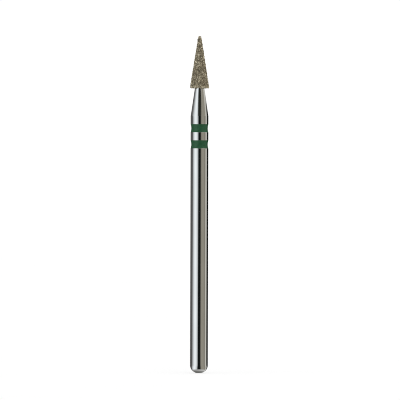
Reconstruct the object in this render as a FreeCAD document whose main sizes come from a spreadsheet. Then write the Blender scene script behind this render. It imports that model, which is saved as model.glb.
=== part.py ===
# Dental laboratory bur with a straight handpiece shank and a tapered head coated with diamond.
#
# The steel is one turned blank: a plain shank with a rounded end, two marking grooves, a neck that
# narrows to the head, and the conical core of the head. The core carries an even coat of coarse
# diamond grit bonded in nickel, which wraps its back face, its rim and its tip. The grains make its
# outside a crust of small facets. Each groove is filled with green lacquer, whose surface has sunk
# a little between the groove's edges.
#
# The bur points up: +Z runs along its axis towards the tip, and the origin is the centre of the
# shank's end. All sizes are in millimetres.

import FreeCAD, Part
import math
import os
import random

import Sketcher
from FreeCAD import Vector

PARTS_FOLDER = "parts"
BANDS = ("upper_green_band", "lower_green_band")

# Each size, and what it measures
SIZES = {
    "overall_length": (44.5, "shank end to head tip"),
    "shank_diameter": (2.35, "part that the handpiece grips"),
    "end_flat_diameter": (0.25, "flat left on the rounded shank end"),
    "head_length": (6.9, "back face of the head to its tip, over the grit"),
    "head_diameter": (2.5, "widest place of the head, over the grit"),
    "core_tip_radius": (0.07, "steel under the grit at the tip"),
    "coat_thickness": (0.15, "grit and its nickel bond, to the middle height of the grains"),
    "grain_size": (0.15, "from one grain of the grit to the next"),
    "grain_relief": (0.09, "deepest pit between the grains to the highest grain"),
    "neck_length": (3.72, "shoulder to the back face of the head"),
    "neck_diameter": (1.26, "where the neck meets the head"),
    "band_setback": (1.05, "shoulder to the upper band"),
    "band_width": (1.06, "along the shank"),
    "band_gap": (1.07, "steel left between the bands"),
    "groove_depth": (0.18, "turned groove under the lacquer"),
    "band_dish": (0.08, "how far the lacquer has sunk at its middle"),
}

# Places, radii and steps that follow from the sizes, as expressions of the sheet's cells.
# The heights are above the shank's end.
DERIVED = {
    "shank_radius": "Sizes.shank_diameter / 2",
    "end_radius": "(Sizes.shank_diameter - Sizes.end_flat_diameter) / 2",
    "neck_radius": "Sizes.neck_diameter / 2",
    "core_radius": "Sizes.head_diameter / 2 - Sizes.coat_thickness",
    "core_tip_radius": "Sizes.core_tip_radius",
    "tip_radius": "Sizes.core_tip_radius + Sizes.coat_thickness",
    "coat_thickness": "Sizes.coat_thickness",
    "grain_size": "Sizes.grain_size",
    "grain_relief": "Sizes.grain_relief",
    "shoulder_height": "Sizes.overall_length - Sizes.head_length - Sizes.neck_length",
    "back_height": "Sizes.overall_length - Sizes.head_length",
    "core_back_height": "Sizes.overall_length - Sizes.head_length + Sizes.coat_thickness",
    "core_tip_height": "Sizes.overall_length - Sizes.coat_thickness",
    "tip_height": "Sizes.overall_length",
    "band_height": "Sizes.overall_length - Sizes.head_length - Sizes.neck_length"
    " - Sizes.band_setback - Sizes.band_width",
    "band_step": "Sizes.band_width + Sizes.band_gap",
    "band_width": "Sizes.band_width",
    "groove_radius": "Sizes.shank_diameter / 2 - Sizes.groove_depth",
    "cutter_radius": "Sizes.shank_diameter / 2 + Sizes.groove_depth",
    "dish_radius": "((Sizes.band_width / 2) ^ 2 + Sizes.band_dish ^ 2) / (2 * Sizes.band_dish)",
}

# How the grains of the grit are scattered. Their seed gives the same grit each time.
GRAIN_SEED = 11
GRAIN_DRIFT = 0.35
FEWEST_GRAINS_ROUND = 5
DOWN, UP = -math.pi / 2, math.pi / 2

# The sketcher's own numbers for its origin, its two axes and the points of an edge
ORIGIN = (-1, 1)
LEVEL, UPRIGHT = -1, -2
START, END, CENTRE = 1, 2, 3


def make_sheet(doc):
    """The driving dimensions, one row each: name, value, meaning."""
    sheet = doc.addObject("Spreadsheet::Sheet", "Sizes")
    for row, (name, (value, meaning)) in enumerate(SIZES.items(), start=1):
        sheet.set(f"A{row}", name)
        sheet.set(f"B{row}", str(value))
        sheet.set(f"C{row}", meaning)
        sheet.setAlias(f"B{row}", name)
    doc.recompute()
    return sheet


def make_body(doc, label):
    body = doc.addObject("PartDesign::Body", label)
    body.Label = label
    return body


def origin_feature(body, role):
    return next(f for f in body.Origin.OriginFeatures if f.Role == role)


class Profile:
    """A closed outline beside the bur's axis: x is the distance from the axis, y is the height.

    Its edges are drawn in order, anticlockwise, each near its place. The constraints then hold
    them there. now has the present values of the derived dimensions.
    """

    def __init__(self, body, name, now):
        self.body = body
        self.now = now
        self.sketch = body.newObject("Sketcher::SketchObject", name)
        self.sketch.AttachmentSupport = [(origin_feature(body, "XZ_Plane"), "")]
        self.sketch.MapMode = "FlatFace"
        self.edges = []

    def constrain(self, kind, *references):
        return self.sketch.addConstraint(Sketcher.Constraint(kind, *references))

    def line(self, start, end, lies=None):
        """A straight edge, which may have to lie Horizontal or Vertical."""
        edge = self.sketch.addGeometry(Part.LineSegment(Vector(*start), Vector(*end)))
        self.edges.append(((edge, START), (edge, END)))
        if lies:
            self.constrain(lies, edge)
        return edge

    def arc(self, centre, radius, angles, name, hollow=False):
        """An arc between two angles, with its radius named. The outline bulges there, or is hollow."""
        circle = Part.Circle(Vector(*centre), Vector(0, 0, 1), radius)
        edge = self.sketch.addGeometry(Part.ArcOfCircle(circle, *angles))
        ends = ((edge, START), (edge, END))
        self.edges.append(ends[::-1] if hollow else ends)
        self.fix("Radius", name, edge)
        return edge

    def close(self, smooth=()):
        """Joins each edge to the next one. At the ends of the edges in smooth it stays tangent."""
        for before, after in zip(self.edges, self.edges[1:] + self.edges[:1]):
            leaving, arriving = before[1], after[0]
            kind = "Tangent" if leaving[0] in smooth else "Coincident"
            self.constrain(kind, *leaving, *arriving)

    def fix(self, kind, name, *references):
        """A dimension of the outline, bound to one of the derived values."""
        index = self.constrain(kind, *references, self.now[name])
        label = f"{name}_{index}"
        self.sketch.renameConstraint(index, label)
        self.sketch.setExpression(f"Constraints.{label}", DERIVED[name])

    def place(self, edge, end, across=None, height=None):
        """Fixes how far one end of an edge lies from the axis and above the shank's end."""
        if across:
            self.fix("DistanceX", across, *ORIGIN, edge, end)
        if height:
            self.fix("DistanceY", height, *ORIGIN, edge, end)

    def revolve(self, kind, name):
        """Turns the outline about the axis, as a Revolution that adds or a Groove that cuts."""
        feature = self.body.newObject(f"PartDesign::{kind}", name)
        feature.Profile = self.sketch
        feature.ReferenceAxis = (self.sketch, ["V_Axis"])
        feature.Angle = 360
        self.body.Document.recompute()
        return feature


def flank_angle(across, height, radius):
    """The angle at which a circle's edge meets the flank that ends at the point across, height.

    The point is measured from the circle's centre, and the angle from straight across.
    """
    return math.atan2(height, across) + math.acos(radius / math.hypot(across, height))


def around(centre, radius, angle):
    return centre[0] + radius * math.cos(angle), centre[1] + radius * math.sin(angle)


def edges_at(shape, height):
    """The names of the edges that lie flat at one height."""
    flat = 1e-6
    return [
        f"Edge{number}"
        for number, edge in enumerate(shape.Edges, start=1)
        if max(abs(edge.BoundBox.ZMin - height), abs(edge.BoundBox.ZMax - height)) < flat
    ]


def make_blank(doc, now):
    """The steel: shank, rounded end, two grooves, neck, and the core under the grit."""
    body = make_body(doc, "steel_blank")
    shank, neck, core = now["shank_radius"], now["neck_radius"], now["core_radius"]
    shoulder, back, core_back = now["shoulder_height"], now["back_height"], now["core_back_height"]
    top = now["core_tip_height"]
    radius = now["core_tip_radius"]
    centre = (0, top - radius)
    facing = flank_angle(core, core_back - centre[1], radius)

    outline = Profile(body, "blank_profile", now)
    end_face = outline.line((0, 0), (shank, 0), "Horizontal")
    shank_side = outline.line((shank, 0), (shank, shoulder), "Vertical")
    neck_side = outline.line((shank, shoulder), (neck, back))
    spigot = outline.line((neck, back), (neck, core_back), "Vertical")
    seat = outline.line((neck, core_back), (core, core_back), "Horizontal")
    flank = outline.line((core, core_back), around(centre, radius, facing))
    tip = outline.arc(centre, radius, (facing, math.pi / 2), "core_tip_radius")
    outline.line((0, top), (0, 0), "Vertical")
    outline.close(smooth=(flank,))
    outline.constrain("Coincident", end_face, START, *ORIGIN)
    outline.place(shank_side, END, "shank_radius", "shoulder_height")
    outline.place(neck_side, END, "neck_radius", "back_height")
    outline.place(spigot, END, height="core_back_height")
    outline.place(seat, END, "core_radius")
    outline.place(tip, END, height="core_tip_height")
    outline.constrain("PointOnObject", tip, CENTRE, UPRIGHT)
    turned = outline.revolve("Revolution", "turned_blank")

    rounding = body.newObject("PartDesign::Fillet", "rounded_end")
    rounding.Base = (turned, edges_at(turned.Shape, 0))
    rounding.setExpression("Radius", DERIVED["end_radius"])

    lower, upper = now["band_height"], now["band_height"] + now["band_width"]
    inside, outside = now["groove_radius"], now["cutter_radius"]
    cutter = Profile(body, "groove_profile", now)
    near_side = cutter.line((inside, lower), (outside, lower), "Horizontal")
    clear_side = cutter.line((outside, lower), (outside, upper), "Vertical")
    cutter.line((outside, upper), (inside, upper), "Horizontal")
    cutter.line((inside, upper), (inside, lower), "Vertical")
    cutter.close()
    cutter.place(near_side, START, "groove_radius", "band_height")
    cutter.place(clear_side, START, "cutter_radius")
    cutter.fix("DistanceY", "band_width", clear_side, START, clear_side, END)
    groove = cutter.revolve("Groove", "upper_groove")

    grooves = body.newObject("PartDesign::LinearPattern", "both_grooves")
    grooves.Originals = [groove]
    grooves.Direction = (origin_feature(body, "Z_Axis"), [""])
    grooves.Reversed = True
    grooves.Mode = "Spacing"
    grooves.Occurrences = len(BANDS)
    grooves.setExpression("Offset", DERIVED["band_step"])
    body.Tip = grooves
    doc.recompute()
    if not grooves.Shape.Volume < groove.Shape.Volume < rounding.Shape.Volume:
        raise RuntimeError("a groove cut nothing out of the blank")
    return body


def straight(start, end, facing, step):
    """Places (radius, height, facing) about a step apart, from start up to end but without it."""
    count = max(1, round(math.dist(start, end) / step))
    shares = [number / count for number in range(count)]
    return [(*(a + (b - a) * share for a, b in zip(start, end)), facing) for share in shares]


def bend(centre, radius, first, last, step):
    """The same round an arc, which faces the angle first at its start and last at its end."""
    count = max(1, round(radius * (last - first) / step))
    angles = [first + (last - first) * number / count for number in range(count)]
    return [(*around(centre, radius, angle), angle) for angle in angles]


def head_outline(now):
    """Places a row of grains apart over the head's back face, rim, flank and tip."""
    row = now["grain_size"] * math.sqrt(3) / 2
    rim_centre = (now["core_radius"], now["core_back_height"])
    tip_centre = (0, now["tip_height"] - now["tip_radius"])
    across, height = rim_centre[0], rim_centre[1] - tip_centre[1]
    facing = flank_angle(across, height, now["core_tip_radius"])
    collar = (now["neck_radius"] + now["grain_size"], now["back_height"])
    flank_start = around(rim_centre, now["coat_thickness"], facing)
    flank_end = around(tip_centre, now["tip_radius"], facing)
    return (
        straight(collar, (rim_centre[0], now["back_height"]), DOWN, row)
        + bend(rim_centre, now["coat_thickness"], DOWN, facing, row)
        + straight(flank_start, flank_end, facing, row)
        + bend(tip_centre, now["tip_radius"], facing, UP, row)
    )


def grain_rings(now):
    """Rings of points (turn, place) over the head, each point a grain or a pit between grains.

    The first ring is level and even, because the back face ends there round the neck.
    """
    scatter = random.Random(GRAIN_SEED)
    rings = []
    for number, (radius, height, facing) in enumerate(head_outline(now)):
        count = max(FEWEST_GRAINS_ROUND, round(2 * math.pi * radius / now["grain_size"]))
        ring = []
        for grain in range(count):
            drift = scatter.uniform(-GRAIN_DRIFT, GRAIN_DRIFT) if number else 0
            rise = scatter.uniform(-0.5, 0.5) * now["grain_relief"] if number else 0
            turn = 2 * math.pi * (grain + drift + number % 2 / 2) / count
            out, up = around((radius, height), rise, facing)
            ring.append((turn, Vector(out * math.cos(turn), out * math.sin(turn), up)))
        rings.append(ring)
    return rings


def facets_between(low, high):
    """Triangles that join two rings. Each step goes along the ring whose next side is nearer."""
    facets = []
    low_turns, high_turns = (
        [turn for turn, _ in ring] + [ring[0][0] + 2 * math.pi] for ring in (low, high)
    )
    i = j = 0
    while i < len(low) or j < len(high):
        low_middle = sum(low_turns[i : i + 2]) if i < len(low) else math.inf
        high_middle = sum(high_turns[j : j + 2]) if j < len(high) else math.inf
        here, there = low[i % len(low)][1], high[j % len(high)][1]
        if low_middle < high_middle:
            i += 1
            facets.append((here, low[i % len(low)][1], there))
        else:
            j += 1
            facets.append((here, high[j % len(high)][1], there))
    return facets


def make_coat(doc, now, blank):
    """The grit and its bond: a closed crust of facets over the whole head, less the steel in it."""
    rings = grain_rings(now)
    tip = Vector(0, 0, now["tip_height"])
    facets = [facet for low, high in zip(rings, rings[1:]) for facet in facets_between(low, high)]
    last = [place for _, place in rings[-1]]
    facets += [(a, b, tip) for a, b in zip(last, last[1:] + last[:1])]
    back_face = [place for _, place in reversed(rings[0])]
    faces = [Part.Face(Part.makePolygon([*corners, corners[0]])) for corners in [back_face, *facets]]
    shell = Part.makeShell(faces)
    shell.sewShape()
    crust = doc.addObject("Part::Feature", "grain_crust")
    crust.Shape = Part.makeSolid(shell)

    coat = doc.addObject("Part::Cut", "diamond_coat")
    coat.Label = "diamond_coat"
    coat.Base = crust
    coat.Tool = blank
    coat.Refine = False
    return coat


def make_band(doc, label, number, now):
    """The lacquer in one groove, counted down from the head."""
    body = make_body(doc, label)
    floor, surface, width = now["groove_radius"], now["shank_radius"], now["band_width"]
    dish = now["dish_radius"]
    half_angle = math.asin(width / 2 / dish)
    dish_centre = (surface + dish * math.cos(half_angle), width / 2)

    outline = Profile(body, "band_profile", now)
    lower_side = outline.line((floor, 0), (surface, 0), "Horizontal")
    hollow_angles = (math.pi - half_angle, math.pi + half_angle)
    outline.arc(dish_centre, dish, hollow_angles, "dish_radius", hollow=True)
    upper_side = outline.line((surface, width), (floor, width), "Horizontal")
    outline.line((floor, width), (floor, 0), "Vertical")
    outline.close()
    outline.constrain("PointOnObject", lower_side, START, LEVEL)
    outline.place(lower_side, START, "groove_radius")
    outline.place(lower_side, END, "shank_radius")
    outline.place(upper_side, START, "shank_radius", "band_width")
    outline.revolve("Revolution", "lacquer")
    height = f"{DERIVED['band_height']} - {number} * ({DERIVED['band_step']})"
    body.setExpression("Placement.Base.z", height)
    return body


def check(doc, pieces):
    """Stops if a feature has failed, a sketch is loose or a piece isn't one sound solid."""
    for thing in doc.Objects:
        if "Invalid" in thing.State or "Error" in thing.State:
            raise RuntimeError(f"{thing.Label} has failed: {thing.State}")
        if thing.isDerivedFrom("Sketcher::SketchObject") and not thing.FullyConstrained:
            raise RuntimeError(f"{thing.Label} of {thing.getParentGeoFeatureGroup().Label} is loose")
    for piece in pieces:
        shape = piece.Shape
        if shape.isNull() or not shape.isValid() or len(shape.Solids) != 1 or shape.Volume <= 0:
            raise RuntimeError(f"{piece.Label} is not one sound solid")


def main():
    doc = FreeCAD.newDocument("DentalBur")
    sheet = make_sheet(doc)
    now = {name: float(sheet.evalExpression(text)) for name, text in DERIVED.items()}
    blank = make_blank(doc, now)
    coat = make_coat(doc, now, blank)
    bands = [make_band(doc, label, number, now) for number, label in enumerate(BANDS)]
    doc.recompute()
    pieces = [blank, coat, *bands]
    check(doc, pieces)
    os.makedirs(PARTS_FOLDER, exist_ok=True)
    for piece in pieces:
        piece.Shape.exportStep(os.path.join(PARTS_FOLDER, f"{piece.Label}.step"))
        volume, faces = piece.Shape.Volume, len(piece.Shape.Faces)
        print(f"{piece.Label}: {volume:.4f} mm3, {faces} faces")


main()
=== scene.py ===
import math
import random
from itertools import product

import bmesh
import bpy
from mathutils import Euler, Matrix, Vector, noise


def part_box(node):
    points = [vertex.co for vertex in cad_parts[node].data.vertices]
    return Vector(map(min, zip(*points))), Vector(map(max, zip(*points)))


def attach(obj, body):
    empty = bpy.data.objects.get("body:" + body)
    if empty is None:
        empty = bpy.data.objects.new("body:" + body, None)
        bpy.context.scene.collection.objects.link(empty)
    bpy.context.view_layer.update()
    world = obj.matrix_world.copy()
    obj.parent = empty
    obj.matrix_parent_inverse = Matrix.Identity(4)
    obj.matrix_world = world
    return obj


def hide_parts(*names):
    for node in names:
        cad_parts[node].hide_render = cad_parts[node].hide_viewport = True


# The looks of a diamond-coated dental bur. The polished steel, the lacquer of the two bands and the
# grit of the head are turned or scattered on the sizes of the fixed frame. Sizes are in metres.

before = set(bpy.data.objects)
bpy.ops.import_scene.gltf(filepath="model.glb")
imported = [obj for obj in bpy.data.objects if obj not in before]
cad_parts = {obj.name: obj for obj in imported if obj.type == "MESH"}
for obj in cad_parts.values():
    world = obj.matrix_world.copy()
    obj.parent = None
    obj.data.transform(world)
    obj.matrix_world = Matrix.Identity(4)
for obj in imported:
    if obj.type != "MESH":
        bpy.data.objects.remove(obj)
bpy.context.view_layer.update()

MM = 0.001
BODY = "root"
BANDS = {"upper_lacquer": "upper_green_band", "lower_lacquer": "lower_green_band"}


def rings_of(node):
    """The vertices of a CAD node as (radius, height), without repeats."""
    places = (vertex.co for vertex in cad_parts[node].data.vertices)
    return sorted({(round(math.hypot(p.x, p.y), 8), round(p.z, 8)) for p in places})


# Sizes of the steel, measured on its own CAD node. What is within NEAR counts as the same.
NEAR = 0.002 * MM
STEEL = rings_of("steel_blank")
SHANK_RADIUS = max(radius for radius, _ in STEEL)
END_FLAT_RADIUS = max(radius for radius, height in STEEL if height < NEAR)
SHANK_HEIGHTS = [height for radius, height in STEEL if radius > SHANK_RADIUS - NEAR]
END_ROUNDING = min(SHANK_HEIGHTS)
SHOULDER = max(SHANK_HEIGHTS)
CORE_TOP = max(height for _, height in STEEL)
ABOVE_SHOULDER = [place for place in STEEL if place[1] > SHOULDER + NEAR]
CORE_RADIUS = max(radius for radius, _ in ABOVE_SHOULDER)
CORE_BACK = min(height for radius, height in ABOVE_SHOULDER if radius > CORE_RADIUS - NEAR)
NECK_RINGS = [place for place in ABOVE_SHOULDER if place[1] < CORE_BACK - NEAR]
NECK_RADIUS, HEAD_BACK = min(NECK_RINGS)

# The core's tip under the grit, and the last stretch of the neck, over which its sheen turns from the
# neck's slope to the upright core
CORE_TIP_RADIUS = 0.07 * MM
NECK_BLEND = 0.16 * MM

# Sizes of the lacquer, on its CAD nodes, and how deep its outside has sunk. The grooves' outer edges
# are just broken.
BAND_HEIGHTS = {piece: [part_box(node)[end].z for end in (0, 1)] for piece, node in BANDS.items()}
GROOVE_RADIUS = min(radius for node in BANDS.values() for radius, _ in rings_of(node))
BAND_DISH = 0.08 * MM
EDGE_ROUNDING = 0.015 * MM

# The coat: its outside at the middle height of the grains, and the nickel between them. Its back
# lies up to BACK_WAVE higher on the camera's side.
TIP_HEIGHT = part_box("diamond_coat")[1].z
COAT_THICKNESS = TIP_HEIGHT - CORE_TOP
BOND_DEPTH = 0.05 * MM
BOND_RELIEF = 0.02 * MM
BOND_LUMP = 0.12 * MM
BACK_WAVE = 0.08 * MM
BOND_STEP = 0.05 * MM
BOND_ROUND_STEPS = 160

# The grains. Their size is the diameter of the sphere that they fit in. Their tops lie about the
# middle height of the coat, and a share GRAIN_ROOT of each is held in the nickel. Grains of like
# tone lie in patches, which make up PATCH_SHARE of a grain's tone.
GRAIN_SEED = 3
GRAIN_SHAPES = 24
GRAIN_SKEW = 0.28
GRAIN_FLATTEST = 0.72
GRAIN_STEP = 0.02 * MM
GRAIN_CELL = 0.1 * MM
COARSE = {"size": (0.17 * MM, 0.24 * MM), "spacing": 0.145 * MM, "tries": 40000}
FINE = {"size": (0.10 * MM, 0.15 * MM), "spacing": 0.095 * MM, "tries": 30000}
GRAIN_TOP = (-0.02 * MM, 0.06 * MM)
GRAIN_ROOT = 0.2
PATCH = 0.3 * MM
PATCH_SHARE = 0.42

# Steps of the turned profiles. A ring of vertices at EDGE_RING from an edge keeps the flat beside it
# flat in its shading, and an edge that turns by more than its angle in SHARP is shaded as an edge.
ROUND_STEPS = 240
END_STEPS = 32
SHANK_STEPS = 30
LAND_STEPS = 4
NECK_STEPS = 8
EDGE_STEPS = 4
DISH_STEPS = 24
CORE_TIP_STEPS = 6
EDGE_RING = 0.06 * MM
SHARP = {"steel": math.radians(25), "lacquer": math.radians(40), "nickel": math.radians(60)}
DOWN, UP = -math.pi / 2, math.pi / 2

# The photograph's frame
FRAME_HEIGHT = 52.78 * MM
CAMERA_DISTANCE = 600 * MM
CAMERA_PLACE = (0.088 * MM, 22.84 * MM)
CAMERA_ROLL = math.radians(-0.148)
SENSOR = 36


def around(centre, radius, angle):
    return centre[0] + radius * math.cos(angle), centre[1] + radius * math.sin(angle)


def arc(centre, radius, first, last, steps):
    """Places (radius, height) along an arc, with both its ends."""
    angles = [first + (last - first) * step / steps for step in range(steps + 1)]
    return [around(centre, radius, angle) for angle in angles]


def along(start, end, share):
    """What lies at a share of the way from start to end."""
    return tuple(a + (b - a) * share for a, b in zip(start, end))


def run(start, end, steps):
    """Places along a straight line, with both its ends."""
    return [along(start, end, step / steps) for step in range(steps + 1)]


def flank_angle(across, height, radius):
    """Where a circle's edge meets the flank that ends at the point across, height from its centre."""
    return math.atan2(height, across) + math.acos(radius / math.hypot(across, height))


def new_piece(name, vertices, faces, material, sharp=None):
    """A mesh that rides on the bur. It is smooth up to the angle sharp, or flat without one."""
    mesh = bpy.data.meshes.new(name)
    mesh.from_pydata(vertices, [], faces)
    if sharp:
        mesh.shade_smooth()
        mesh.set_sharp_from_angle(angle=sharp)
    else:
        mesh.shade_flat()
    mesh.materials.append(material)
    piece = bpy.data.objects.new(name, mesh)
    bpy.context.scene.collection.objects.link(piece)
    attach(piece, BODY)
    return piece


def turn(profile, closed=False, steps=ROUND_STEPS):
    """Vertices and faces of a profile turned about the axis. Its outside is on its right.

    A place on the axis becomes one vertex. A closed profile's last place joins its first.
    """
    vertices, rings = [], []
    for radius, height in profile:
        count = 1 if radius < NEAR / 2 else steps
        rings.append([len(vertices) + step % count for step in range(steps)])
        for step in range(count):
            angle = 2 * math.pi * step / count
            vertices.append(Vector((radius * math.cos(angle), radius * math.sin(angle), height)))
    joined = zip(rings, rings[1:] + rings[:1]) if closed else zip(rings, rings[1:])
    faces = []
    for low, high in joined:
        for step in range(steps):
            after = (step + 1) % steps
            faces.append(tuple(dict.fromkeys((low[step], low[after], high[after], high[step]))))
    return vertices, faces


def core_profile():
    """The steel under the grit, from the back of the head up to the tip."""
    centre = (0, CORE_TOP - CORE_TIP_RADIUS)
    facing = flank_angle(CORE_RADIUS, CORE_BACK - centre[1], CORE_TIP_RADIUS)
    places = run((NECK_RADIUS, HEAD_BACK), (NECK_RADIUS, CORE_BACK), 1)
    places += [(CORE_RADIUS, CORE_BACK)]
    return places + arc(centre, CORE_TIP_RADIUS, facing, UP, CORE_TIP_STEPS)


def groove_profile(low, high):
    """One groove, with its two outer edges just broken."""
    outside = SHANK_RADIUS - EDGE_ROUNDING
    lower = arc((outside, low - EDGE_ROUNDING), EDGE_ROUNDING, 0, UP, EDGE_STEPS)
    upper = arc((outside, high + EDGE_ROUNDING), EDGE_ROUNDING, DOWN, 0, EDGE_STEPS)
    return lower + [(GROOVE_RADIUS, low), (GROOVE_RADIUS, high)] + upper


def steel_profile():
    """Rounded end, shank with its grooves, shoulder, neck and core, from the bottom up."""
    lower, upper = (BAND_HEIGHTS[name] for name in ("lower_lacquer", "upper_lacquer"))

    def shank(low, high, steps):
        return run((SHANK_RADIUS, low + EDGE_RING), (SHANK_RADIUS, high - EDGE_RING), steps)

    places = [(0, 0)] + arc((END_FLAT_RADIUS, END_ROUNDING), END_ROUNDING, DOWN, 0, END_STEPS)
    places += shank(END_ROUNDING, lower[0], SHANK_STEPS) + groove_profile(*lower)
    places += shank(lower[1], upper[0], LAND_STEPS) + groove_profile(*upper)
    places += shank(upper[1], SHOULDER, LAND_STEPS)
    neck = (SHANK_RADIUS, SHOULDER), (NECK_RADIUS, HEAD_BACK)
    length = HEAD_BACK - SHOULDER
    first, last = (along(*neck, share) for share in (EDGE_RING / length, 1 - NECK_BLEND / length))
    places += [(SHANK_RADIUS, SHOULDER)] + run(first, last, NECK_STEPS)
    return places + core_profile()


def lacquer_profile(low, high):
    """A ring of lacquer in its groove. Its outside has sunk to an arc between the groove's edges."""
    half_width = (high - low) / 2
    radius = (half_width**2 + BAND_DISH**2) / (2 * BAND_DISH)
    reach = math.asin(half_width / radius)
    centre = (SHANK_RADIUS - EDGE_ROUNDING / 2 + radius * math.cos(reach), (low + high) / 2)
    surface = arc(centre, radius, math.pi + reach, math.pi - reach, DISH_STEPS)
    return [(GROOVE_RADIUS, low)] + surface + [(GROOVE_RADIUS, high)]


def head_outline(depth, step):
    """Places (radius, height, facing) over the head's back, rim, flank and tip, a step apart.

    They lie at a depth under the middle height of the grains.
    """
    rim_centre = (CORE_RADIUS, CORE_BACK)
    tip_radius = CORE_TIP_RADIUS + COAT_THICKNESS
    tip_centre = (0, TIP_HEIGHT - tip_radius)
    facing = flank_angle(CORE_RADIUS, CORE_BACK - tip_centre[1], CORE_TIP_RADIUS)
    rim, tip = COAT_THICKNESS - depth, tip_radius - depth
    back = CORE_BACK - rim

    def steps(length):
        return max(2, round(length / step))

    count = steps(CORE_RADIUS - NECK_RADIUS)
    places = [(*place, DOWN) for place in run((NECK_RADIUS, back), (CORE_RADIUS, back), count)[:-1]]
    count = steps(rim * (facing - DOWN))
    for number in range(count):
        angle = DOWN + (facing - DOWN) * number / count
        places.append((*around(rim_centre, rim, angle), angle))
    start, end = around(rim_centre, rim, facing), around(tip_centre, tip, facing)
    flank = run(start, end, steps(math.dist(start, end)))
    places += [(*place, facing) for place in flank[:-1]]
    count = steps(tip * (UP - facing))
    for number in range(count + 1):
        angle = facing + (UP - facing) * number / count
        places.append((*around(tip_centre, tip, angle), angle))
    return places


def back_lift(place, down):
    """How much higher the back of the coat lies: it is uneven, and highest on the camera's side."""
    if down <= 0:
        return Vector()
    toward = max(-place.y / place.xy.length, 0)
    return Vector((0, 0, BACK_WAVE * toward**2 * down))


def bond_mesh():
    """The nickel between the grains: a lumpy shell over the core, closed on the core's side."""
    core = core_profile()[1:]
    core.reverse()
    outline = head_outline(BOND_DEPTH, BOND_STEP)
    profile = core + [place[:2] for place in outline]
    vertices, faces = turn(profile, steps=BOND_ROUND_STEPS)
    kept = sum(1 if radius < NEAR / 2 else BOND_ROUND_STEPS for radius, _ in core)
    for number, place in enumerate(vertices[kept:]):
        facing = outline[number // BOND_ROUND_STEPS][2]
        moved = place + back_lift(place, -math.sin(facing))
        if place.xy.length > NECK_RADIUS + NEAR:
            lump = noise.noise(place / BOND_LUMP) + noise.noise(place * 2 / BOND_LUMP) / 2
            moved += Vector((place.x, place.y, 0)).normalized() * lump * BOND_RELIEF
        vertices[kept + number] = moved
    return vertices, faces


def grain_shape(chance):
    """A blocky crystal in a sphere of diameter 1: corners of a cuboctahedron, each one moved."""
    corners = []
    for flat, signs in product(range(3), product((-1, 1), repeat=2)):
        corner = list(signs)
        corner.insert(flat, 0)
        moved = Vector(corner) + Vector([chance.uniform(-GRAIN_SKEW, GRAIN_SKEW) for _ in range(3)])
        corners.append(moved)
    reach = max(corner.length for corner in corners)
    stretch = Matrix.Diagonal([chance.uniform(GRAIN_FLATTEST, 1) for _ in range(3)])
    hull = bmesh.new()
    for corner in corners:
        hull.verts.new(stretch @ corner / reach / 2)
    bmesh.ops.convex_hull(hull, input=hull.verts)
    loose = [vertex for vertex in hull.verts if not vertex.link_faces]
    bmesh.ops.delete(hull, geom=loose, context="VERTS")
    hull.verts.index_update()
    vertices = [vertex.co.copy() for vertex in hull.verts]
    faces = [[vertex.index for vertex in face.verts] for face in hull.faces]
    hull.free()
    return vertices, faces


class Spots:
    """Places of grains on the head, found by trial, none nearer to another than they may be."""

    def __init__(self, chance):
        self.chance = chance
        self.outline = head_outline(0, GRAIN_STEP)
        self.weights = [radius for radius, _, _ in self.outline]
        self.cells = {}

    def key(self, place):
        return tuple(math.floor(axis / GRAIN_CELL) for axis in place)

    def crowded(self, place, spacing):
        here = self.key(place)
        reach = math.ceil(spacing / GRAIN_CELL)
        for shift in product(range(-reach, reach + 1), repeat=3):
            for other in self.cells.get(tuple(a + b for a, b in zip(here, shift)), ()):
                if (other - place).length < spacing:
                    return True
        return False

    def scatter(self, spacing, tries):
        found = []
        for radius, height, facing in self.chance.choices(self.outline, self.weights, k=tries):
            angle = self.chance.uniform(0, 2 * math.pi)
            place = Vector((radius * math.cos(angle), radius * math.sin(angle), height))
            if self.crowded(place, spacing):
                continue
            self.cells.setdefault(self.key(place), []).append(place)
            out, up = math.cos(facing), math.sin(facing)
            found.append((place, Vector((out * math.cos(angle), out * math.sin(angle), up))))
        return found


def grain_mesh():
    """All the grains, and the tone of each as a number from 0 to 1 for each of its faces.

    A share GRAIN_ROOT of each grain's height is held in the nickel, so none of them floats.
    """
    chance = random.Random(GRAIN_SEED)
    shapes = [grain_shape(chance) for _ in range(GRAIN_SHAPES)]
    spots = Spots(chance)
    vertices, faces, tones = [], [], []
    for kind in (COARSE, FINE):
        for place, outward in spots.scatter(kind["spacing"], kind["tries"]):
            corners, sides = chance.choice(shapes)
            turned = Euler([chance.uniform(0, 2 * math.pi) for _ in range(3)]).to_matrix()
            size = chance.uniform(*kind["size"])
            placed = [turned @ corner * size for corner in corners]
            reaches = [corner.dot(outward) for corner in placed]
            low, high = min(reaches), max(reaches)
            rooted = (1 - GRAIN_ROOT) * (high - low) - BOND_DEPTH
            middle = place + outward * (min(chance.uniform(*GRAIN_TOP), rooted) - high)
            middle += back_lift(place, -outward.z)
            first = len(vertices)
            vertices += [middle + corner for corner in placed]
            faces += [[first + number for number in side] for side in sides]
            patch = 0.5 + noise.noise(place / PATCH)
            tone = chance.random() * (1 - PATCH_SHARE) + patch * PATCH_SHARE
            tones += [tone] * len(sides)
    return vertices, faces, tones


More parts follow.
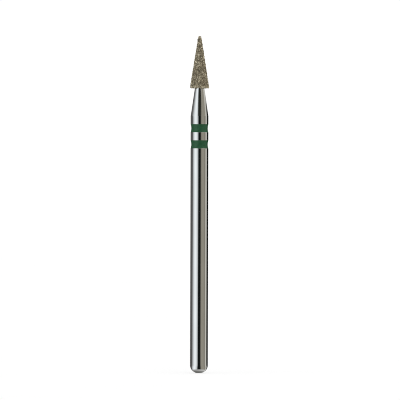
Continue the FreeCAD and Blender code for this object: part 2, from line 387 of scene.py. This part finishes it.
class Shader:
    """A node material with a Principled shader, whose fixed values are set on its own sockets."""

    def __init__(self, name, **values):
        self.material = bpy.data.materials.new(name)
        self.material.use_nodes = True
        self.tree = self.material.node_tree
        self.shader = self.tree.nodes["Principled BSDF"]
        for socket, value in values.items():
            self.shader.inputs[socket.replace("_", " ")].default_value = value

    def node(self, kind, **settings):
        made = self.tree.nodes.new(f"ShaderNode{kind}")
        for name, value in settings.items():
            if hasattr(made, name):
                setattr(made, name, value)
            else:
                made.inputs[name.replace("_", " ")].default_value = value
        return made

    def link(self, output, target):
        self.tree.links.new(output, target)

    def places(self, scale):
        """Object coordinates, times a scale for each axis."""
        coordinates = self.node("TexCoord")
        mapping = self.node("Mapping", Scale=scale)
        self.link(coordinates.outputs["Object"], mapping.inputs["Vector"])
        return mapping.outputs["Vector"]

    def noise(self, scale, detail=2.0):
        """Noise from 0 to 1 whose waves are about 1 / scale metres long on each axis."""
        texture = self.node("TexNoise", Scale=1.0, Detail=detail)
        self.link(self.places(scale), texture.inputs["Vector"])
        return texture.outputs["Fac"]

    def between(self, factor, low, high, start=0.3, end=0.7):
        """A number from low to high as the factor goes from start to end."""
        made = self.node("MapRange", From_Min=start, From_Max=end, To_Min=low, To_Max=high)
        self.link(factor, made.inputs["Value"])
        return made.outputs["Result"]

    def colours(self, factor, stops):
        """Colours that follow a factor: stops are (place, colour)."""
        ramp = self.node("ValToRGB")
        elements = ramp.color_ramp.elements
        while len(elements) < len(stops):
            elements.new(0.5)
        for element, (place, colour) in zip(elements, stops):
            element.position = place
            element.color = (*colour, 1)
        self.link(factor, ramp.inputs["Fac"])
        return ramp.outputs["Color"]

    def bump(self, height, distance):
        made = self.node("Bump", Distance=distance)
        self.link(height, made.inputs["Height"])
        self.link(made.outputs["Normal"], self.shader.inputs["Normal"])

    def feed(self, output, socket):
        self.link(output, self.shader.inputs[socket])


def steel_material():
    """Ground and polished steel with fine marks round it."""
    steel = Shader("polished_steel", Metallic=1.0, Anisotropic=0.5, Anisotropic_Rotation=0.25)
    marks = steel.noise((100, 100, 25000), detail=3)
    cloud = steel.noise((900, 900, 250), detail=2)
    steel.feed(steel.between(marks, 0.04, 0.075), "Roughness")
    greys = [(0.3, (0.60, 0.60, 0.595)), (0.7, (0.65, 0.65, 0.645))]
    steel.feed(steel.colours(cloud, greys), "Base Color")
    steel.bump(marks, 0.00002 * MM)
    return steel.material


def lacquer_material():
    """Dark green satin lacquer, a little uneven from the brush."""
    lacquer = Shader("green_lacquer", IOR=1.48, Specular_IOR_Level=0.3)
    patches = lacquer.noise((3000, 3000, 3000), detail=3)
    specks = lacquer.noise((14000, 14000, 14000), detail=2)
    greens = [
        (0.3, (0.0085, 0.0625, 0.023)),
        (0.55, (0.012, 0.073, 0.0295)),
        (0.75, (0.0165, 0.085, 0.037)),
    ]
    lacquer.feed(lacquer.colours(patches, greens), "Base Color")
    lacquer.feed(lacquer.between(specks, 0.34, 0.5), "Roughness")
    lacquer.bump(specks, 0.0015 * MM)
    return lacquer.material


def bond_material():
    """Electroplated nickel, rough and stained between the grains."""
    bond = Shader("nickel_bond", Metallic=0.85)
    grains = bond.noise((12000, 12000, 12000), detail=4)
    tones = [(0.3, (0.100, 0.085, 0.060)), (0.7, (0.260, 0.225, 0.165))]
    bond.feed(bond.colours(grains, tones), "Base Color")
    bond.feed(bond.between(grains, 0.35, 0.6), "Roughness")
    bond.bump(grains, 0.006 * MM)
    return bond.material


def grain_material():
    """Coarse diamond: straw, khaki and grey crystals with bright facets and a faint inner cloud."""
    grain = Shader("diamond_grain", IOR=1.7, Metallic=0.5)
    tone = grain.node("Attribute", attribute_name="tone").outputs["Fac"]
    cloud = grain.noise((16000, 16000, 16000), detail=2)
    mixed = grain.node("Math", operation="MULTIPLY_ADD")
    grain.link(grain.between(cloud, -0.2, 0.2), mixed.inputs[0])
    mixed.inputs[1].default_value = 1.0
    grain.link(tone, mixed.inputs[2])
    stops = [
        (0.1, (0.135, 0.112, 0.072)),
        (0.4, (0.305, 0.256, 0.164)),
        (0.65, (0.570, 0.500, 0.352)),
        (0.9, (0.840, 0.770, 0.590)),
    ]
    grain.feed(grain.colours(mixed.outputs["Value"], stops), "Base Color")
    grain.feed(grain.between(cloud, 0.28, 0.48), "Roughness")
    grain.bump(cloud, 0.002 * MM)
    return grain.material


def dress_bur():
    """The pieces that stand for the CAD nodes."""
    vertices, faces = turn(steel_profile())
    steel = new_piece("turned_steel", vertices, faces, steel_material(), SHARP["steel"])
    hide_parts("steel_blank")

    lacquer = lacquer_material()
    for name, node in BANDS.items():
        vertices, faces = turn(lacquer_profile(*BAND_HEIGHTS[name]), closed=True)
        band = new_piece(name, vertices, faces, lacquer, SHARP["lacquer"])
        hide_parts(node)

    vertices, faces = bond_mesh()
    bond = new_piece("grit_bond", vertices, faces, bond_material(), SHARP["nickel"])
    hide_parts("diamond_coat")

    vertices, faces, tones = grain_mesh()
    grains = new_piece("diamond_grains", vertices, faces, grain_material())
    grains.data.attributes.new("tone", "FLOAT", "FACE").data.foreach_set("value", tones)
    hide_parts("diamond_coat")


# The tent round the bur, which only reflections see. Azimuths are in degrees: 0 is the camera's
# side, which is CAMERA_SIDE from the x axis, and 90 is on its right. A panel is its light, how soft
# its edges are, and its outline: rows of (height in mm, first azimuth, last azimuth), with straight
# sides between them. A value of light over 1 is brighter than white. The light is worked out in
# TENT_COLUMNS columns, at TENT_HEIGHTS in mm.
CAMERA_SIDE = -90
TENT_RADIUS = 100 * MM
TENT_LIFT = 0.01 * MM
TENT_COLUMNS = 720
TENT_HEIGHTS = [*range(3, 40, 3), *range(40, 70), *range(70, 155, 5)]
TENT_CLOTH = (0.9, 0.9, 0.89)
BELOW, ABOVE = -10, 160
SOFTBOX_SIDE = [(BELOW, -96.5), (9, -96.5), (20, -94.2), (38, -94.2), (46, -100), (60, -103)]
STRIP_SIDE = [(BELOW, 83), (20, 85), (50, 85), (54, 79), (57, 77), (60, 100), (ABOVE, 100)]
CARD_SIDES = [(61, -15, 33), (64.5, -16.5, 33), (67, -23, 42), (70, -26, 26), (ABOVE, -36, 10)]
PANELS = {
    "grey_wall": ((0.13, 0.13, 0.13), 2, [(height, -174, side) for height, side in SOFTBOX_SIDE]),
    "softbox": (
        (1.30, 1.37, 1.41),
        2,
        [(height, side, -10) for height, side in SOFTBOX_SIDE] + [(ABOVE, -103, -10)],
    ),
    "pale_wall": ((0.23, 0.23, 0.23), 2, [(51, -174, -101), (60, -174, -103)]),
    "black_card": ((0.008, 0.010, 0.010), 5, [(BELOW, -18.2, 33), (20, -14.6, 33), *CARD_SIDES]),
    "card_top": ((0.030, 0.031, 0.026), 5, [(56, -15, 33), *CARD_SIDES]),
    "taupe_wall": (
        (0.41, 0.385, 0.32),
        10,
        [(BELOW, 19.5, 110), (20, 21, 110), (61, 20, 110), (64.5, 19.5, 95), (67, 29, 95), (69, 38, 60)],
    ),
    "wall_fold": ((0.335, 0.315, 0.265), 4, [(BELOW, 63, 90), (50, 63, 90)]),
    "light_strip": ((0.76, 0.74, 0.68), 2, [(height, side, 174) for height, side in STRIP_SIDE]),
    "black_flag": (
        (0.010, 0.011, 0.009),
        4,
        [(BELOW, 108, 174), (20, 110, 174), (43, 110, 174), (45, 112, 154), (54, 112, 110)],
    ),
    "fill_card": ((1.60, 1.55, 1.45), 8, [(76, 40, 105), (ABOVE, 20, 105)]),
    "dark_left": ((0.10, 0.10, 0.10), 5, [(59, -190, -98), (ABOVE, -190, -98)]),
    "dark_right": ((0.10, 0.10, 0.10), 5, [(59, 108, 190), (ABOVE, 108, 190)]),
}
# The softbox is brightest at its middle. Its light falls over a spread in degrees on the right, and
# over a share of its width on the left.
SOFTBOX_MIDDLE = -50
SOFTBOX_SPREAD = 26
SOFTBOX_FALL = 0.63
# On the floor the panels end in the shade under the bur's end. Each ring of it is its outer radius
# and its light. The shade is lighter on the right, by the share SHADE_LEAN.
SHADE = {"inner": (0.8 * MM, (0.22, 0.22, 0.21)), "outer": (1.3 * MM, (0.55, 0.55, 0.54))}
SHADE_EDGE = 0.06 * MM
SHADE_LEAN = 0.3
SHADE_STEP = 0.05 * MM
SHADE_STEPS = 30


def smooth_step(low, high, value):
    share = min(max((value - low) / (high - low), 0), 1)
    return share * share * (3 - 2 * share)


def inside(low, high, edge, value):
    """1 between low and high and 0 beyond them, with soft ends."""
    return smooth_step(low - edge, low + edge, value) * (1 - smooth_step(high - edge, high + edge, value))


def sides_at(rows, height):
    """The azimuths of a panel's two sides at one height."""
    height = min(max(height, rows[0][0]), rows[-1][0])
    low, high = next(pair for pair in zip(rows, rows[1:]) if height <= pair[1][0])
    share = (height - low[0]) / (high[0] - low[0])
    return along(low[1:], high[1:], share)


def tent_light(azimuth, radius, height):
    """The light that comes from one place of the tent."""
    light = Vector(TENT_CLOTH)
    for name, (colour, edge, rows) in PANELS.items():
        share = inside(*sides_at(rows, height / MM), edge, azimuth)
        share *= inside(rows[0][0], rows[-1][0], 1, height / MM)
        panel = Vector(colour)
        if name == "softbox":
            reach = SOFTBOX_MIDDLE - sides_at(rows, height / MM)[0]
            spread = reach * SOFTBOX_FALL if azimuth < SOFTBOX_MIDDLE else SOFTBOX_SPREAD
            panel *= math.exp(-(((azimuth - SOFTBOX_MIDDLE) / spread) ** 2) / 2)
        light = light.lerp(panel, share)
    for outside, colour in (SHADE["outer"], SHADE["inner"]):
        share = smooth_step(outside - SHADE_EDGE, outside + SHADE_EDGE, radius)
        shade = Vector(colour) * (1 + SHADE_LEAN * math.sin(math.radians(azimuth)))
        light = shade.lerp(light, share)
    return light


def make_tent():
    """A ring on the floor and a round wall, whose light is kept with its vertices."""
    rows = [(SHADE_STEP * step, TENT_LIFT) for step in range(1, SHADE_STEPS + 1)]
    rows += [(TENT_RADIUS, TENT_LIFT)] + [(TENT_RADIUS, height * MM) for height in TENT_HEIGHTS]
    vertices, lights = [], []
    for radius, height in rows:
        for column in range(TENT_COLUMNS):
            azimuth = 360 * column / TENT_COLUMNS - 180
            angle = math.radians(azimuth + CAMERA_SIDE)
            vertices.append((radius * math.cos(angle), radius * math.sin(angle), height))
            lights += [*tent_light(azimuth, radius, height), 1]
    faces = []
    for row in range(len(rows) - 1):
        for column in range(TENT_COLUMNS):
            after = (column + 1) % TENT_COLUMNS
            low, high = row * TENT_COLUMNS, (row + 1) * TENT_COLUMNS
            faces.append((low + column, low + after, high + after, high + column))
    mesh = bpy.data.meshes.new("light_tent")
    mesh.from_pydata(vertices, [], faces)
    mesh.attributes.new("glow", "FLOAT_COLOR", "POINT").data.foreach_set("color", lights)
    material = bpy.data.materials.new("tent_glow")
    material.use_nodes = True
    nodes, links = material.node_tree.nodes, material.node_tree.links
    nodes.clear()
    glow = nodes.new("ShaderNodeAttribute")
    glow.attribute_name = "glow"
    emission = nodes.new("ShaderNodeEmission")
    output = nodes.new("ShaderNodeOutputMaterial")
    links.new(glow.outputs["Color"], emission.inputs["Color"])
    links.new(emission.outputs["Emission"], output.inputs["Surface"])
    material.cycles.emission_sampling = "NONE"
    mesh.materials.append(material)
    tent = bpy.data.objects.new("light_tent", mesh)
    bpy.context.scene.collection.objects.link(tent)
    tent.visible_camera = False
    tent.visible_diffuse = False
    tent.visible_transmission = False
    tent.visible_volume_scatter = False
    tent.visible_shadow = False


FLOOR_RADIUS = 1200 * MM
FLOOR_DROP = 0.001 * MM
FLOOR_SIDES = 128
FLOOR_GLOW = 0.59
WORLD_LIGHT = 1.03


def make_floor():
    """A plain pale disc just under the bur, lit from inside like a light table."""
    glow = {"Emission_Color": (1, 1, 1, 1), "Emission_Strength": FLOOR_GLOW}
    floor = Shader("pale_floor", Roughness=1.0, Specular_IOR_Level=0.0, **glow)
    paper = floor.noise((30, 30, 30), detail=2)
    whites = [(0.3, (0.40, 0.40, 0.40)), (0.7, (0.42, 0.42, 0.42))]
    floor.feed(floor.colours(paper, whites), "Base Color")
    mesh = bpy.data.meshes.new("floor")
    shape = bmesh.new()
    bmesh.ops.create_circle(shape, cap_ends=True, segments=FLOOR_SIDES, radius=FLOOR_RADIUS)
    bmesh.ops.translate(shape, verts=shape.verts, vec=(0, 0, -FLOOR_DROP))
    shape.to_mesh(mesh)
    shape.free()
    mesh.materials.append(floor.material)
    disc = bpy.data.objects.new("floor", mesh)
    bpy.context.scene.collection.objects.link(disc)


def make_world():
    """Even white light from all round."""
    world = bpy.data.worlds.new("studio")
    world.use_nodes = True
    background = world.node_tree.nodes["Background"]
    background.inputs["Color"].default_value = (1, 1, 1, 1)
    background.inputs["Strength"].default_value = WORLD_LIGHT
    bpy.context.scene.world = world


def make_camera():
    """Level with the middle of the bur, in front of it, and far off, as the photograph was taken."""
    camera = bpy.data.cameras.new("camera")
    camera.sensor_width = SENSOR
    camera.lens = SENSOR * CAMERA_DISTANCE / FRAME_HEIGHT
    camera.clip_start = CAMERA_DISTANCE / 10
    camera.clip_end = CAMERA_DISTANCE * 5
    holder = bpy.data.objects.new("camera", camera)
    holder.location = (CAMERA_PLACE[0], -CAMERA_DISTANCE, CAMERA_PLACE[1])
    holder.rotation_euler = (math.pi / 2, CAMERA_ROLL, 0)
    bpy.context.scene.collection.objects.link(holder)
    bpy.context.scene.camera = holder


bpy.context.scene.view_settings.view_transform = "Standard"
bpy.context.scene.cycles.filter_width = 1.0
dress_bur()
make_tent()
make_floor()
make_world()
make_camera()
